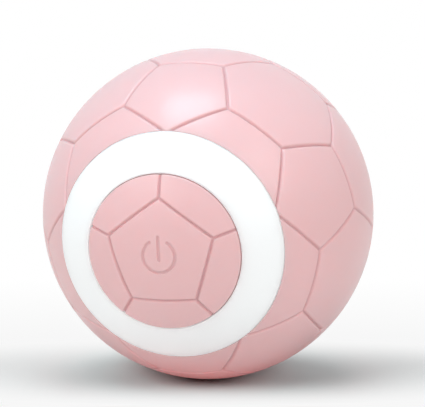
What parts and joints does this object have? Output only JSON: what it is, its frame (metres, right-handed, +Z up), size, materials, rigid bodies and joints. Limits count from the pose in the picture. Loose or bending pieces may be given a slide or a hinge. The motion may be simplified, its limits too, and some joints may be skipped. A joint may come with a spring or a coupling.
{
  "type": "self rolling cat ball",
  "caption": "Motor-driven rolling ball for a cat: a football-patterned soft sleeve spins round a weighted core with a power button, light rings and a charging port.",
  "frame": {"origin": "centre of the ball", "axes": "+Z up at rest, the axle lies along Y, the power button faces -Y and the charging port faces +Y"},
  "size_m": [0.043, 0.0423, 0.043],
  "materials": {
    "sleeve_pink": "satin, soft touch",
    "cap_pink": "satin, soft touch",
    "ring_white": "satin translucent white",
    "drum_white": "moulded",
    "hub_black": "moulded",
    "acetal": "smooth",
    "brass": "machined",
    "zinc": "cast zinc",
    "board_green": "solder mask",
    "part_black": "moulded",
    "steel": "plated",
    "motor_white": "moulded",
    "battery_foil": "foil pouch",
    "led_white": "clear resin over white",
    "wire_red": "insulation",
    "wire_black": "insulation"
  },
  "bodies": {
    "core": {"front_hub": "hub_black", "rear_hub": "hub_black", "light_ring_front": "ring_white", "light_ring_rear": "ring_white", "rear_cap": "cap_pink", "chassis": "hub_black", "counterweight": "zinc", "main_board": "board_green", "charge_board": "board_green", "tact_switch": "part_black", "control_chip": "part_black", "charge_chip": "part_black", "charge_port": "steel", "port_tongue": "part_black", "motor_can": "steel", "motor_end_cap": "motor_white", "battery": "battery_foil", "first_gear_pin": "steel", "second_gear_pin": "steel", "weight_screw_left": "steel", "weight_screw_right": "steel", "front_led_1": "led_white", "front_led_2": "led_white", "front_led_3": "led_white", "front_led_4": "led_white", "rear_led_1": "led_white", "rear_led_2": "led_white", "rear_led_3": "led_white", "rear_led_4": "led_white", "front_hub_screw_1": "steel", "front_hub_screw_2": "steel", "front_hub_screw_3": "steel", "front_hub_screw_4": "steel", "rear_hub_screw_1": "steel", "rear_hub_screw_2": "steel", "rear_hub_screw_3": "steel", "rear_hub_screw_4": "steel", "charge_wire_plus": "wire_red", "charge_wire_minus": "wire_black", "battery_wire_plus": "wire_red", "battery_wire_minus": "wire_black", "motor_wire_plus": "wire_red", "motor_wire_minus": "wire_black"},
    "shell": {"shell_skin": "sleeve_pink", "drum_front": "drum_white", "drum_rear": "drum_white", "bearing_ring_front": "acetal", "bearing_ring_rear": "acetal", "ring_gear": "acetal"},
    "power_button": {"button_cap": "cap_pink", "switch_plunger": "part_black"},
    "motor_rotor": {"motor_pinion": "brass"},
    "first_gear": {"first_gear": "acetal"},
    "second_gear": {"second_gear": "acetal"}
  },
  "joints": [
    {"name": "shell_spin", "type": "hinge", "parent": "core", "child": "shell", "pos_m": [0, 0, 0], "axis": [0, 1, 0], "continuous": true},
    {"name": "button_press", "type": "slide", "parent": "core", "child": "power_button", "axis": [0, 1, 0], "range_m": [0, 0.0004], "stiffness_N_per_m": 4000, "springref_m": -0.0001},
    {"name": "second_gear_spin", "type": "hinge", "parent": "core", "child": "second_gear", "pos_m": [0, 0, 0.009], "axis": [0, 1, 0], "continuous": true},
    {"name": "first_gear_spin", "type": "hinge", "parent": "core", "child": "first_gear", "pos_m": [0, 0, 0.0005], "axis": [0, 1, 0], "continuous": true},
    {"name": "motor_spin", "type": "hinge", "parent": "core", "child": "motor_rotor", "pos_m": [0, 0, -0.00875], "axis": [0, 1, 0], "continuous": true}
  ],
  "couplings": [
    {"joint": "second_gear_spin", "follows": "shell_spin", "ratio": 4},
    {"joint": "first_gear_spin", "follows": "shell_spin", "ratio": -9.6},
    {"joint": "motor_spin", "follows": "shell_spin", "ratio": 29.867}
  ]
}
